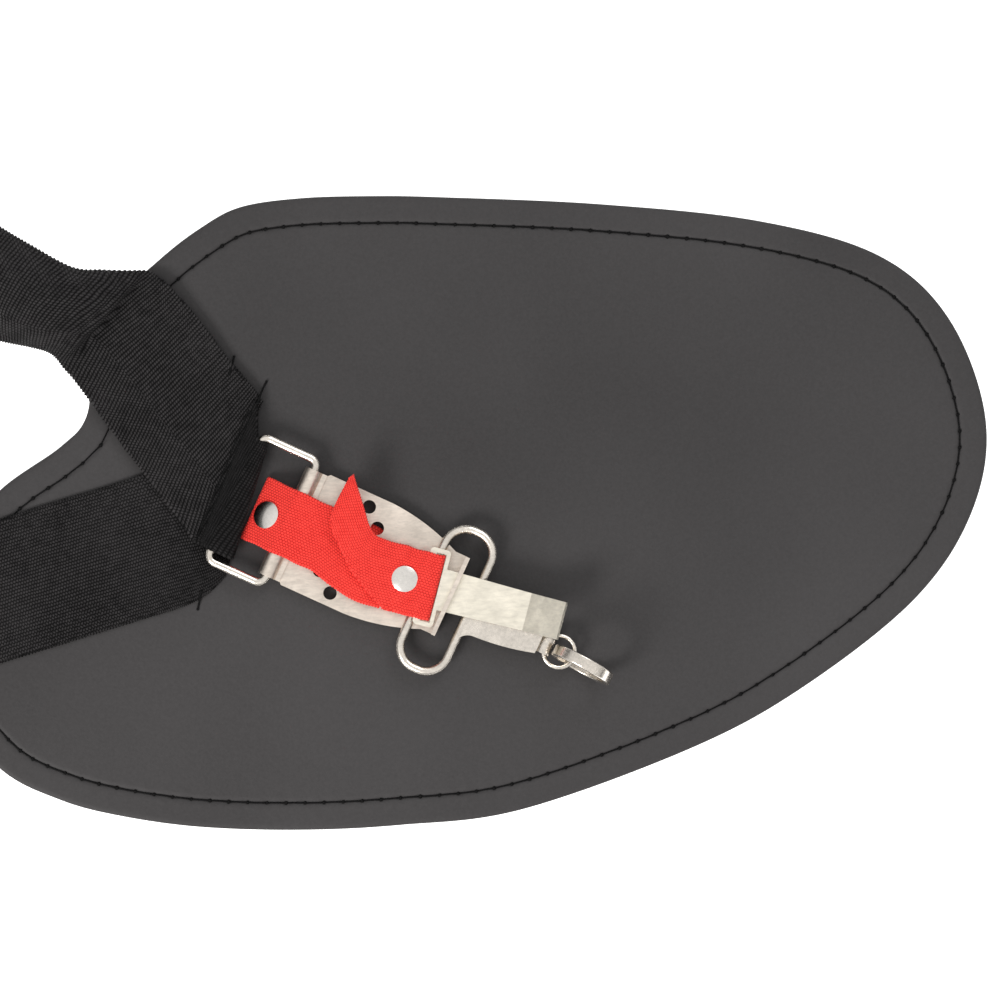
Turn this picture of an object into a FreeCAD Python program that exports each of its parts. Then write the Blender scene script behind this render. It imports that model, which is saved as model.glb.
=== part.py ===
# Hip pad of a brush-cutter harness: a stitched leatherette pad that carries two webbing straps,
# a steel ring, a quick-release plate with its tongue, a hook eye, and the ring that holds a machine.
#
# All lengths are millimetres.  The pad lies on its back face.  The origin is on that face, under the
# middle of the webbing ring's front bar.  +X runs along the pad towards its wide round end, +Z is up.
# The steel parts are drawn in their own plan frame, which is the row frame turned by PLATE_TURN
# about Z, and the release tongue in a plan frame turned a further TONGUE_TURN.

import FreeCAD, Part
import math
import os

V = FreeCAD.Vector
Z_AXIS = V(0, 0, 1)

# ---------------------------------------------------------------- driving dimensions
PLATE_TURN = -24.5          # degrees, plan frame of the ring, plate and hook
TONGUE_TURN = 10.0          # degrees, release tongue against the plate
MID_Y = -1.0                # plan y of the middle of the ring and the plate

# pad
SKIN_FRONT = 1.0
SKIN_BACK = 1.0
FOAM = 6.0
PAD_TOP = SKIN_BACK + FOAM + SKIN_FRONT
BOARD_T = 1.5               # oval stiffener board inside the foam
BOARD_AT = (90.0, 8.0)
BOARD_RADII = (135.0, 86.0)
STITCH_INSET = 10.0
STITCH_PITCH = 7.2
STITCH_LEN = 5.2
THREAD_W = 0.6
THREAD_H = 0.3

# the pad's outline, clockwise from its upper left shoulder
PAD_OUTLINE = [
    (3, 119.3), (28.9, 120.1), (54.8, 119.7), (114, 117.1), (173.2, 110.8), (217.6, 97.9),
    (243.5, 74.2), (256.8, 37.2), (251.6, 3.1), (230.1, -29.4), (187.6, -62.7), (146.2, -84.9),
    (84.4, -107.1), (40, -112.7), (3, -114.5), (-34, -113.4), (-63.6, -109.3), (-85.8, -103.4),
    (-108, -91.9), (-128.4, -66.4), (-135.4, -38.7), (-124.7, -9.1), (-108, 11.3),
    (-85.8, 27.2), (-76.2, 38.3), (-72.9, 59.4), (-61.8, 83.4), (-48.8, 96.8), (-34, 108.2),
    (-19.2, 116),
]

# black webbing
WEB_W = 48.5
WEB_T = 1.6
FLOOR_GAP = 0.1             # webbing that lies beside the pad, above the ground
UPPER_ARCH = [(-82.0, 0.0), (-97.0, 9.0), (-110.0, 9.0)]    # x, and rise over its flat stretch
UPPER_DOWN_X = -139.0       # straps lie on the ground beyond these
LOWER_FLAT_X = -139.0
LOWER_DOWN_X = -156.0
UPPER_END = (-152.0, 101.5)
UPPER_END_DIR = 162.0       # degrees, the way each strap's end points
LOWER_END = (-166.0, -47.6)
LOWER_END_DIR = 197.5
END_TAIL = 16.0             # from a strap's end to its adjuster's first bar
LOOP_CLEAR = 0.35           # between a bar and the webbing loop round it
SEAM_X = -30.0              # plan x of the seam that closes the loop round the ring
LOOP_Y = (-23.4, 21.4)
LOOP_FALL = 30.0            # degrees past its top at which the loop leaves the bar

# webbing ring
RING_WIRE_R = 1.65
RING_LEN = 22.6             # back bar to front bar, between wire centres
RING_HALF_W = 25.0
RING_CORNER = 3.2
RING_Z = 13.4

# release plate
SHEET_T = 1.6
BARREL_IN = RING_WIRE_R + 0.1
BARREL_OUT = BARREL_IN + SHEET_T
BARREL_HALF = 21.5
SHEET_Z = RING_Z - BARREL_OUT
PLATE_HALF = 22.3
PLATE_NOSE_HALF = 15.7
WALL_X = 64.2
WALL_TOP = 22.9
WINDOW_HALF = 9.0
WINDOW_Y = 0.5
WINDOW_Z = (18.0, 20.3)
HOLE_R = 2.5
HOLES = [(24.0, 17.5), (17.0, 11.5), (30.0, 11.5)]    # each is mirrored about MID_Y

# release tongue, in its own plan frame
TONGUE_AT = (65.0, 0.5)
TONGUE_T = 1.5
TONGUE_Z = 18.35
HEAD_X = (-11.6, -3.9)
HEAD_HALF = 14.6
HEAD_SLOT_X = (-9.1, -5.3)
HEAD_SLOT_HALF = 12.9
TONGUE_ROOT_HALF = 7.75
TONGUE_TIP_HALF = 7.1
TONGUE_BEND_X = 28.5
TONGUE_HALF_REACH = TONGUE_TIP_HALF + 1.0    # a box this wide spans the blade
TIP_LEN = 14.9
TIP_RISE = 30.0             # degrees

# hook eye, link ring and machine ring
EYE_WIRE_R = 1.7
EYE_X = (55.0, 73.4)
EYE_Y = (-30.7, 24.6)
EYE_CORNER = 8.5
EYE_Z = 13.5
HOOK_Y = -3.05
SHANK_T = 3.0
SHANK_HALF = (8.0, 4.2)
SHANK_END_X = 102.0
KNUCKLE_X = 104.6
KNUCKLE_OUT = 2.9
KNUCKLE_IN = 1.5
KNUCKLE_HALF = 3.2
LINK_R = 5.9
LINK_WIRE_R = 0.8
LINK_X = 110.0
BAND_OUT = 12.05
BAND_IN = 9.85
BAND_W = 4.4
BAND_X = 119.8
BAND_Y = -3.2
BAND_Z = 20.4
BAND_YAW = -4.0             # degrees
BAND_LEAN = -6.0            # degrees, the band's foot stands a little to the side
CROSS_X = 111.3             # where the band passes through the link

# red release strap
RED_W = 24.5
RED_T = 1.2
RED_MID_Y = -1.3
RED_TOP_Z = 17.55           # middle of the run that rides over the barrel
RED_UNDER_Z = 8.75          # middle of the layer that returns under the plate
RED_SLOPE = 30.0            # degrees
RED_FOLD_X = -13.9
UNDER_END_X = 33.0          # the under layer's cut end, beneath the plate
LEAD_END_X = 8.0
RUN_END_X = -24.0           # tongue frame
CAP_R = 5.1
POST_R = 1.4
STUD_X = -8.9
STUD_Y = RED_MID_Y - 0.7
STUD_BASE_R = 2.6
RIVET_BASE_R = 4.2
RIVET_AT = (47.0, -2.2)
RIVET_R = 4.8

# ladder-lock adjusters at the straps' ends
ADJ_BAR_R = 1.6
ADJ_Z = FLOOR_GAP + WEB_T + LOOP_CLEAR + ADJ_BAR_R
ADJ_HALF_IN = 25.3
ADJ_RAIL = 3.6
ADJ_T = 3.4
ADJ_BARS = (0.0, 15.0, 29.0)
ADJ_LIP = 6.0


# ---------------------------------------------------------------- small helpers
def save(name, shape):
    """Writes one node and prints what it holds."""
    shape.exportStep("parts/" + name + ".step")
    print("%-24s solids %2d  volume %10.1f  valid %s" % (
        name, len(shape.Solids), shape.Volume, shape.isValid()))


def turned(shape, degrees, about=(0.0, 0.0, 0.0), axis=(0.0, 0.0, 1.0)):
    copy = shape.copy()
    copy.rotate(V(*about), V(*axis), degrees)
    return copy


def from_plate(shape):
    """Plan frame of the plate to the row frame."""
    return turned(shape, PLATE_TURN)


def tongue_to_plate(shape):
    """Plan frame of the tongue to that of the plate."""
    copy = turned(shape, TONGUE_TURN)
    copy.translate(V(TONGUE_AT[0], TONGUE_AT[1], 0))
    return copy


def plan_prism(points, low, high):
    """A flat outline, pulled up from low to high."""
    corners = [V(x, y, low) for x, y in points]
    wire = Part.makePolygon(corners + [corners[0]])
    return Part.Face(wire).extrude(V(0, 0, high - low))


def box(x, y, z):
    """A block given by its (low, high) pairs."""
    return Part.makeBox(x[1] - x[0], y[1] - y[0], z[1] - z[0], V(x[0], y[0], z[0]))


def joined(shapes):
    whole = shapes[0]
    for shape in shapes[1:]:
        whole = whole.fuse(shape)
    return whole.removeSplitter()


def strip(path, thickness, y):
    """A webbing strip whose middle follows an (x, z) path, from y[0] to y[1]."""
    half = thickness / 2
    pieces = []
    for (xa, za), (xb, zb) in zip(path, path[1:]):
        run = math.hypot(xb - xa, zb - za)
        nx = -(zb - za) / run * half
        nz = (xb - xa) / run * half
        corners = [V(xa + nx, y[0], za + nz), V(xb + nx, y[0], zb + nz),
                   V(xb - nx, y[0], zb - nz), V(xa - nx, y[0], za - nz)]
        face = Part.Face(Part.makePolygon(corners + [corners[0]]))
        pieces.append(face.extrude(V(0, y[1] - y[0], 0)))
    for x, z in path[1:-1]:
        pieces.append(Part.makeCylinder(half, y[1] - y[0], V(x, y[0], z), V(0, 1, 0)))
    return joined(pieces)


def arc_points(centre, radius, start, stop, count):
    """Points on an (x, z) arc, angles in degrees."""
    points = []
    for step in range(count + 1):
        angle = math.radians(start + (stop - start) * step / count)
        points.append((centre[0] + radius * math.cos(angle), centre[1] + radius * math.sin(angle)))
    return points


def round_frame(x, y, z, corner):
    """A closed rounded rectangle in plan at height z."""
    (x0, x1), (y0, y1) = x, y
    c = corner
    k = c * (1 - math.sqrt(0.5))
    edges = []
    corners = [((x0 + c, y0), (x1 - c, y0), (x1 - k, y0 + k), (x1, y0 + c)),
               ((x1, y0 + c), (x1, y1 - c), (x1 - k, y1 - k), (x1 - c, y1)),
               ((x1 - c, y1), (x0 + c, y1), (x0 + k, y1 - k), (x0, y1 - c)),
               ((x0, y1 - c), (x0, y0 + c), (x0 + k, y0 + k), (x0 + c, y0))]
    for start, end, middle, after in corners:
        edges.append(Part.LineSegment(V(*start, z), V(*end, z)).toShape())
        edges.append(Part.Arc(V(*end, z), V(*middle, z), V(*after, z)).toShape())
    return Part.Wire(edges)


def bent_wire(path, radius):
    """Round wire along a closed path."""
    edge = path.Edges[0]
    start = edge.valueAt(edge.FirstParameter)
    along = edge.tangentAt(edge.FirstParameter)
    section = Part.Wire(Part.makeCircle(radius, start, along))
    return path.makePipeShell([section], True, False)


def domed_cap(radius, rim, dome):
    """A cap standing on z = 0: a short rim under a shallow dome."""
    ball_r = (radius ** 2 + dome ** 2) / (2 * dome)
    ball = Part.makeSphere(ball_r, V(0, 0, rim + dome - ball_r), V(1, 0, 0))
    return Part.makeCylinder(radius, rim + dome).common(ball)


# ---------------------------------------------------------------- pad
def pad_wire():
    curve = Part.BSplineCurve()
    curve.interpolate(Points=[V(x, y, 0) for x, y in PAD_OUTLINE], PeriodicFlag=True)
    return Part.Wire(curve.toShape())


def pad_slab(low, high):
    slab = Part.Face(pad_wire()).extrude(V(0, 0, high - low))
    slab.translate(V(0, 0, low))
    return slab


def under_webbing(point):
    """Whether a strap covers this place on the pad."""
    for outline in (lower_outline(), upper_outline()):
        corners = [V(x, y, 0) for x, y in outline]
        cover = Part.Face(Part.makePolygon(corners + [corners[0]]))
        if cover.distToShape(Part.Vertex(point))[0] < STITCH_LEN / 2 + 1:
            return True
    return False


def edge_thread():
    """The edge seam's stitches, left out where the straps cover them."""
    edge = pad_wire().Edges[0]
    count = round(edge.Length / STITCH_PITCH)
    stitches = []
    for step in range(count):
        where = edge.getParameterByLength(edge.Length * step / count)
        along = edge.tangentAt(where)
        place = edge.valueAt(where) + V(along.y, -along.x, 0) * STITCH_INSET
        if under_webbing(place):
            continue
        stitch = Part.makeBox(STITCH_LEN, THREAD_W, THREAD_H, V(-STITCH_LEN / 2, -THREAD_W / 2, 0))
        stitch = turned(stitch, math.degrees(math.atan2(along.y, along.x)))
        stitch.translate(place + V(0, 0, PAD_TOP))
        stitches.append(stitch)
    return Part.makeCompound(stitches)


def make_pad():
    board_low = SKIN_BACK + 1.0
    oval = Part.Ellipse(V(*BOARD_AT, board_low), *BOARD_RADII).toShape()
    board = Part.Face(Part.Wire(oval)).extrude(V(0, 0, BOARD_T))
    foam = pad_slab(SKIN_BACK, SKIN_BACK + FOAM).cut(board)
    save("pad_back_skin", pad_slab(0, SKIN_BACK))
    save("pad_stiffener", board)
    save("pad_foam_core", foam)
    save("pad_front_skin", pad_slab(PAD_TOP - SKIN_FRONT, PAD_TOP))
    save("pad_edge_thread", edge_thread())


# ---------------------------------------------------------------- webbing
def plate_point(x, y):
    """A point of the plate's plan frame in the row frame."""
    turn = math.radians(PLATE_TURN)
    return (x * math.cos(turn) - y * math.sin(turn), x * math.sin(turn) + y * math.cos(turn))


def strap_end(end, direction):
    """The two corners of a strap's square end, left one first when looking along it."""
    angle = math.radians(direction)
    across = (-math.sin(angle) * WEB_W / 2, math.cos(angle) * WEB_W / 2)
    return (end[0] + across[0], end[1] + across[1]), (end[0] - across[0], end[1] - across[1])


def upper_outline():
    left, right = strap_end(UPPER_END, UPPER_END_DIR)
    return [plate_point(SEAM_X, -21.4), plate_point(SEAM_X, 32.0), (-22.6, 54.6), (-44.8, 83.8),
            (-53.3, 91.2), (-79.2, 92.5), (-108.0, 107.5), right, left, (-108.0, 66.8),
            (-95.1, 63.8), (-85.8, 58.4), (-74.0, 43.8), (-53.7, 16.5)]


def lower_outline():
    left, right = strap_end(LOWER_END, LOWER_END_DIR)
    return [plate_point(-19.0, 16.0), plate_point(-14.0, -29.1), (-34.0, -29.4),
            (-108.0, -52.4), left, right, (-108.0, 0.2), (-53.7, 16.8)]


def lower_outline_prism():
    return plan_prism(lower_outline(), -5, 40)


def upper_outline_prism():
    return plan_prism(upper_outline(), -5, 40)


def flat_then_down(outline, level, bends, down_x):
    """A strap cut from a strip that lies flat at a level, may rise, then comes down to the ground."""
    ground = FLOOR_GAP + WEB_T / 2
    middle = level + WEB_T / 2
    path = [(20.0, middle)] + [(x, middle + rise) for x, rise in bends]
    path += [(down_x, ground), (-260.0, ground)]
    return strip(path, WEB_T, (-160.0, 200.0)).common(outline).removeSplitter()


def loop_profile_strip(bar_r, tail, y):
    """Webbing that comes in flat, goes round a bar at the origin and back down onto itself."""
    radius = bar_r + LOOP_CLEAR + WEB_T / 2
    path = [(-tail, -radius)]
    path += arc_points((0, 0), radius, -90, 90, 12)
    path += [(-tail * 0.55, -radius + WEB_T), (-tail, -radius + WEB_T)]
    return strip(path, WEB_T, y)


def make_straps():
    upper_level = PAD_TOP + WEB_T
    upper = flat_then_down(upper_outline_prism(), upper_level, UPPER_ARCH, UPPER_DOWN_X)
    lower = flat_then_down(lower_outline_prism(), PAD_TOP, [(LOWER_FLAT_X, 0.0)], LOWER_DOWN_X)
    save("upper_strap", upper)
    save("lower_strap", lower)
    radius = RING_WIRE_R + LOOP_CLEAR + WEB_T / 2
    path = [(SEAM_X, RING_Z - radius)]
    path += arc_points((-RING_LEN, RING_Z), radius, -90, 90 + LOOP_FALL, 14)
    path += [(SEAM_X, upper_level + WEB_T * 1.5)]
    path += [(SEAM_X - 8.0, upper_level + WEB_T * 1.5)]
    save("ring_loop", from_plate(strip(path, WEB_T, LOOP_Y)))
    for name, end, direction in (("upper", UPPER_END, UPPER_END_DIR),
                                 ("lower", LOWER_END, LOWER_END_DIR)):
        save(name + "_strap_end_loop", place_at_end(end_loop(), end, direction))


def end_loop():
    """The end loop in its strap's frame: the strap's end is at x = 0 and x runs outwards."""
    loop = loop_profile_strip(ADJ_BAR_R, END_TAIL, (-WEB_W / 2, WEB_W / 2))
    loop.translate(V(END_TAIL, 0, ADJ_Z))
    return loop


def place_at_end(shape, end, direction):
    copy = turned(shape, direction)
    copy.translate(V(end[0], end[1], 0))
    return copy


def make_stitching():
    """Lines of thread that stand on the webbing where it is sewn."""
    top = PAD_TOP + 3 * WEB_T
    rows = []
    for row in (1.5, 4.5):
        x = SEAM_X - row
        rows.append(from_plate(box((x - 0.4, x + 0.4), (LOOP_Y[0] + 2, LOOP_Y[1] - 2),
                                   (top, top + THREAD_H))))
    end_top = FLOOR_GAP + 2 * WEB_T
    for end, direction in ((UPPER_END, UPPER_END_DIR), (LOWER_END, LOWER_END_DIR)):
        for x in (1.5, 4.5):
            line = box((x - 0.4, x + 0.4), (-WEB_W / 2 + 3, WEB_W / 2 - 3),
                       (end_top, end_top + THREAD_H))
            rows.append(place_at_end(line, end, direction))
    save("loop_stitching", Part.makeCompound(rows))


# ---------------------------------------------------------------- steel
def make_ring():
    path = round_frame((-RING_LEN, 0.0), (MID_Y - RING_HALF_W, MID_Y + RING_HALF_W), RING_Z,
                       RING_CORNER)
    save("webbing_ring", from_plate(bent_wire(path, RING_WIRE_R)))


def plate_outline():
    """Half widths are about MID_Y; the flanks close in along arcs to the nose."""
    far = WALL_X + SHEET_T

    def at(x, half, side):
        return V(x, MID_Y + side * half, SHEET_Z)

    edges = []
    for side in (-1, 1):
        flank = [Part.LineSegment(at(0, BARREL_HALF, side), at(5.4, BARREL_HALF, side)),
                 Part.LineSegment(at(5.4, BARREL_HALF, side), at(6.2, PLATE_HALF, side)),
                 Part.LineSegment(at(6.2, PLATE_HALF, side), at(32, PLATE_HALF, side)),
                 Part.Arc(at(32, PLATE_HALF, side), at(46, 20.3, side),
                          at(60, PLATE_NOSE_HALF, side)),
                 Part.LineSegment(at(60, PLATE_NOSE_HALF, side), at(far, PLATE_NOSE_HALF, side))]
        edges += [piece.toShape() for piece in flank]
    edges.append(Part.LineSegment(at(far, PLATE_NOSE_HALF, -1), at(far, PLATE_NOSE_HALF, 1)).toShape())
    edges.append(Part.LineSegment(at(0, BARREL_HALF, -1), at(0, BARREL_HALF, 1)).toShape())
    return Part.Wire(Part.__sortEdges__(edges))


def make_plate():
    barrel_y = (MID_Y - BARREL_HALF, MID_Y + BARREL_HALF)
    sheet = Part.Face(plate_outline()).extrude(V(0, 0, SHEET_T))
    flap = box((1.5, 5.2), barrel_y, (SHEET_Z + SHEET_T, SHEET_Z + 2 * SHEET_T))
    wall_y = (MID_Y - PLATE_NOSE_HALF, MID_Y + PLATE_NOSE_HALF)
    wall = box((WALL_X, WALL_X + SHEET_T), wall_y, (SHEET_Z, WALL_TOP))
    window = box((WALL_X - 1, WALL_X + SHEET_T + 1),
                 (WINDOW_Y - WINDOW_HALF, WINDOW_Y + WINDOW_HALF), WINDOW_Z)
    start = V(0, barrel_y[0], RING_Z)
    length = barrel_y[1] - barrel_y[0]
    barrel = Part.makeCylinder(BARREL_OUT, length, start, V(0, 1, 0))
    bore = Part.makeCylinder(BARREL_IN, length + 2, start - V(0, 1, 0), V(0, 1, 0))
    plate = joined([sheet, flap, wall, barrel])
    plate = plate.cut(bore).cut(window)
    for x, off in HOLES:
        for side in (-1, 1):
            drill = Part.makeCylinder(HOLE_R, 3 * SHEET_T, V(x, MID_Y + side * off, SHEET_Z - 1))
            plate = plate.cut(drill)
    save("release_plate", from_plate(plate.removeSplitter()))


def make_tongue():
    top = TONGUE_Z + TONGUE_T
    head = plan_prism([(HEAD_X[0], -HEAD_HALF), (HEAD_X[1], -HEAD_HALF),
                       (HEAD_X[1], HEAD_HALF), (HEAD_X[0], HEAD_HALF)], TONGUE_Z, top)
    upright = [edge for edge in head.Edges
               if abs(edge.Vertexes[0].Z - edge.Vertexes[1].Z) > TONGUE_T / 2]
    head = head.makeFillet(1.5, upright)
    slot = box(HEAD_SLOT_X, (-HEAD_SLOT_HALF, HEAD_SLOT_HALF), (TONGUE_Z - 1, top + 1))
    blade = plan_prism([(HEAD_X[1] - 0.5, -TONGUE_ROOT_HALF), (TONGUE_BEND_X, -TONGUE_TIP_HALF),
                        (TONGUE_BEND_X, TONGUE_TIP_HALF), (HEAD_X[1] - 0.5, TONGUE_ROOT_HALF)],
                       TONGUE_Z, top)
    tip = box((TONGUE_BEND_X, TONGUE_BEND_X + TIP_LEN), (-TONGUE_TIP_HALF, TONGUE_TIP_HALF),
              (TONGUE_Z, top))
    tip = turned(tip, -TIP_RISE, (TONGUE_BEND_X, 0, top), (0, 1, 0))
    knee = Part.makeCylinder(TONGUE_T, 2 * TONGUE_TIP_HALF, V(TONGUE_BEND_X, -TONGUE_TIP_HALF, top),
                             V(0, 1, 0))
    below = box((TONGUE_BEND_X - 2, TONGUE_BEND_X + 2), (-TONGUE_HALF_REACH, TONGUE_HALF_REACH),
                (TONGUE_Z - 1, top))
    tongue = joined([head, blade, tip, knee.common(below)]).cut(slot)
    save("release_tongue", from_plate(tongue_to_plate(tongue.removeSplitter())))


def make_hook():
    path = round_frame(EYE_X, EYE_Y, EYE_Z, EYE_CORNER)
    eye = bent_wire(path, EYE_WIRE_R)
    low = EYE_Z - SHANK_T / 2
    x0 = EYE_X[1]
    wide, narrow = SHANK_HALF

    def at(x, half, side):
        return V(x, HOOK_Y + side * half, low)

    edges = []
    for side in (-1, 1):
        edges.append(Part.Arc(at(x0, wide + 4.6, side), at(x0 + 1.7, wide + 1.6, side),
                              at(x0 + 5.6, wide, side)).toShape())
        edges.append(Part.Arc(at(x0 + 5.6, wide, side), at(x0 + 17, wide - 1.2, side),
                              at(SHANK_END_X, narrow, side)).toShape())
    edges.append(Part.LineSegment(at(x0, wide + 4.6, -1), at(x0, wide + 4.6, 1)).toShape())
    edges.append(Part.LineSegment(at(SHANK_END_X, narrow, -1), at(SHANK_END_X, narrow, 1)).toShape())
    shank = Part.Face(Part.Wire(Part.__sortEdges__(edges))).extrude(V(0, 0, SHANK_T))
    neck = box((SHANK_END_X - 0.5, KNUCKLE_X), (HOOK_Y - KNUCKLE_HALF, HOOK_Y + KNUCKLE_HALF),
               (low, low + SHANK_T))
    start = V(KNUCKLE_X, HOOK_Y - KNUCKLE_HALF, EYE_Z)
    roll = Part.makeCylinder(KNUCKLE_OUT, 2 * KNUCKLE_HALF, start, V(0, 1, 0))
    bore = Part.makeCylinder(KNUCKLE_IN, 2 * KNUCKLE_HALF + 2, start - V(0, 1, 0), V(0, 1, 0))
    hook = joined([eye, shank, neck, roll]).cut(bore)
    save("hook_eye", from_plate(hook.removeSplitter()))


def make_rings():
    link = Part.makeTorus(LINK_R, LINK_WIRE_R, V(LINK_X, HOOK_Y, EYE_Z))
    save("link_ring", from_plate(link))
    start = V(0, -BAND_W / 2, 0)
    band = Part.makeCylinder(BAND_OUT, BAND_W, start, V(0, 1, 0))
    band = band.cut(Part.makeCylinder(BAND_IN, BAND_W, start, V(0, 1, 0)))
    rims = [edge for edge in band.Edges if edge.Curve.TypeId == "Part::GeomCircle"]
    band = band.makeFillet(0.6, rims)
    band = turned(band, BAND_LEAN, (0, 0, 0), (1, 0, 0))
    band.translate(V(BAND_X, BAND_Y, BAND_Z))
    band = turned(band, BAND_YAW, (CROSS_X, HOOK_Y, 0))
    save("machine_ring", from_plate(band))


# ---------------------------------------------------------------- red release strap
def red_y():
    return (RED_MID_Y - RED_W / 2 + 0.25, RED_MID_Y + RED_W / 2 - 0.25)


def stud_frame():
    """Where the press stud stands on the slope, and which way is up for it."""
    slope = math.radians(RED_SLOPE)
    start = lead_start()
    fall = (start[0] - STUD_X) * math.tan(slope)
    return (STUD_X, start[1] - fall), slope


def lead_start():
    """The point at which the strap leaves the barrel, down the slope."""
    radius = RED_TOP_Z - RING_Z
    angle = math.radians(90 + RED_SLOPE)
    return (radius * math.cos(angle), RING_Z + radius * math.sin(angle))


def tilted(shape, at, slope, y):
    """Stands a shape made about Z on the slope."""
    copy = turned(shape, -math.degrees(slope), (0, 0, 0), (0, 1, 0))
    copy.translate(V(at[0], y, at[1]))
    return copy


def make_anchor():
    slope = math.radians(RED_SLOPE)
    start = lead_start()
    gap = 0.3
    first = (start[0] - gap * math.cos(slope), start[1] - gap * math.sin(slope))
    fall = (first[0] - RED_FOLD_X) * math.tan(slope)
    fold = (RED_FOLD_X, first[1] - fall)
    apart = RED_T + 0.1
    down = (math.sin(slope) * apart, -math.cos(slope) * apart)
    around = arc_points((fold[0] + down[0] / 2, fold[1] + down[1] / 2), apart / 2,
                        90 + RED_SLOPE, 270 + RED_SLOPE, 6)
    under = (fold[0] + down[0], fold[1] + down[1])
    along = 10.0
    lift = (under[0] + along * math.cos(slope), under[1] + along * math.sin(slope))
    path = [first] + around + [lift, (lift[0] + 0.3, RED_UNDER_Z + 1.2),
                               (lift[0] + 1.5, RED_UNDER_Z), (UNDER_END_X, RED_UNDER_Z)]
    anchor = strip(path, RED_T, red_y())
    at, slope = stud_frame()
    drill = tilted(Part.makeCylinder(POST_R + 0.1, 12, V(0, 0, -6)), at, slope, STUD_Y)
    cap_low = RED_T / 2
    cap = domed_cap(CAP_R, 0.6, 1.0)
    cap.translate(V(0, 0, cap_low))
    post = Part.makeCylinder(POST_R, 2 * RED_T + 0.1, V(0, 0, -(cap_low + RED_T + 0.1)))
    base = Part.makeCylinder(STUD_BASE_R, 0.8, V(0, 0, -(cap_low + RED_T + 0.9)))
    save("release_strap_anchor", from_plate(anchor.cut(drill)))
    save("anchor_stud_cap", from_plate(tilted(joined([cap, post]), at, slope, STUD_Y)))
    save("anchor_stud_base", from_plate(tilted(base, at, slope, STUD_Y)))


def make_lead():
    radius = RED_TOP_Z - RING_Z
    path = [lead_start()] + arc_points((0, RING_Z), radius, 90 + RED_SLOPE, 90, 5)[1:]
    path += [(LEAD_END_X, RED_TOP_Z)]
    save("release_strap_lead", from_plate(strip(path, RED_T, red_y())))


def tongue_point(x, y):
    """A point of the tongue's plan frame in the plate's."""
    turn = math.radians(TONGUE_TURN)
    return (TONGUE_AT[0] + x * math.cos(turn) - y * math.sin(turn),
            TONGUE_AT[1] + x * math.sin(turn) + y * math.cos(turn))


def make_run():
    low_y, high_y = red_y()
    half = RED_W / 2 - 0.25
    outline = [(LEAD_END_X, low_y), (24.0, low_y - 1.0), tongue_point(RUN_END_X, -half),
               tongue_point(RUN_END_X, half), (22.0, high_y - 0.6), (LEAD_END_X, high_y)]
    low = RED_TOP_Z - RED_T / 2
    save("release_strap_run", from_plate(plan_prism(outline, low, low + RED_T)))


def make_pull_loop():
    """The strap's turn through the tongue's slot, and its free tab, which stands up at its tip."""
    half = RED_W / 2 - 0.25
    lower = RED_TOP_Z
    upper = TONGUE_Z + TONGUE_T + RED_T / 2 + 0.15
    turn_r = (upper - lower) / 2
    turn_x = -6.0 - turn_r
    lap = lower + RED_T + 0.1
    path = [(RUN_END_X + 0.3, lower), (turn_x, lower)]
    path += arc_points((turn_x, lower + turn_r), turn_r, -90, 90, 8)[1:]
    path += [(HEAD_X[0] - 0.3, upper), (HEAD_X[0] - 2.3, lap), (-29.0, lap), (-40.0, lap + 2.5),
             (-58.0, lap + 9.0)]
    loop = tongue_to_plate(strip(path, RED_T, (-30.0, 30.0)))
    tab = [tongue_point(0, -half), tongue_point(0, half), (46.0, 10.4), (34.3, 7.6), (28.8, 8.5),
           (22.5, 15.1), (13.5, 24.9), (12.9, 14.0), (12.6, 6.8), (26.4, -6.4), (41.7, -14.3)]
    plan = plan_prism(tab, 0, 60)
    band = tongue_to_plate(box((RUN_END_X + 0.3, 2.0), (-half, half), (0.0, lower + 0.65)))
    above = box((-50, 90), (-60, 60), (lower + 0.65, 60))
    loop = loop.common(joined([plan.common(above), band])).removeSplitter()
    rivet_x, rivet_y = RIVET_AT
    drill = Part.makeCylinder(POST_R + 0.1, 30, V(rivet_x, rivet_y, 5))
    top = lap + RED_T / 2
    bottom = lower - RED_T / 2
    cap = domed_cap(RIVET_R, 0.5, 0.8)
    cap.translate(V(rivet_x, rivet_y, top))
    dent = Part.makeCylinder(RIVET_R + 0.05, 3, V(rivet_x, rivet_y, top))
    post = Part.makeCylinder(POST_R, top - bottom, V(rivet_x, rivet_y, bottom))
    base = Part.makeCylinder(RIVET_BASE_R, 0.9, V(rivet_x, rivet_y, bottom - 0.9))
    save("pull_loop", from_plate(loop.cut(drill).cut(dent)))
    save("pull_rivet_cap", from_plate(joined([cap, post])))
    save("pull_rivet_base", from_plate(base))


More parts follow.
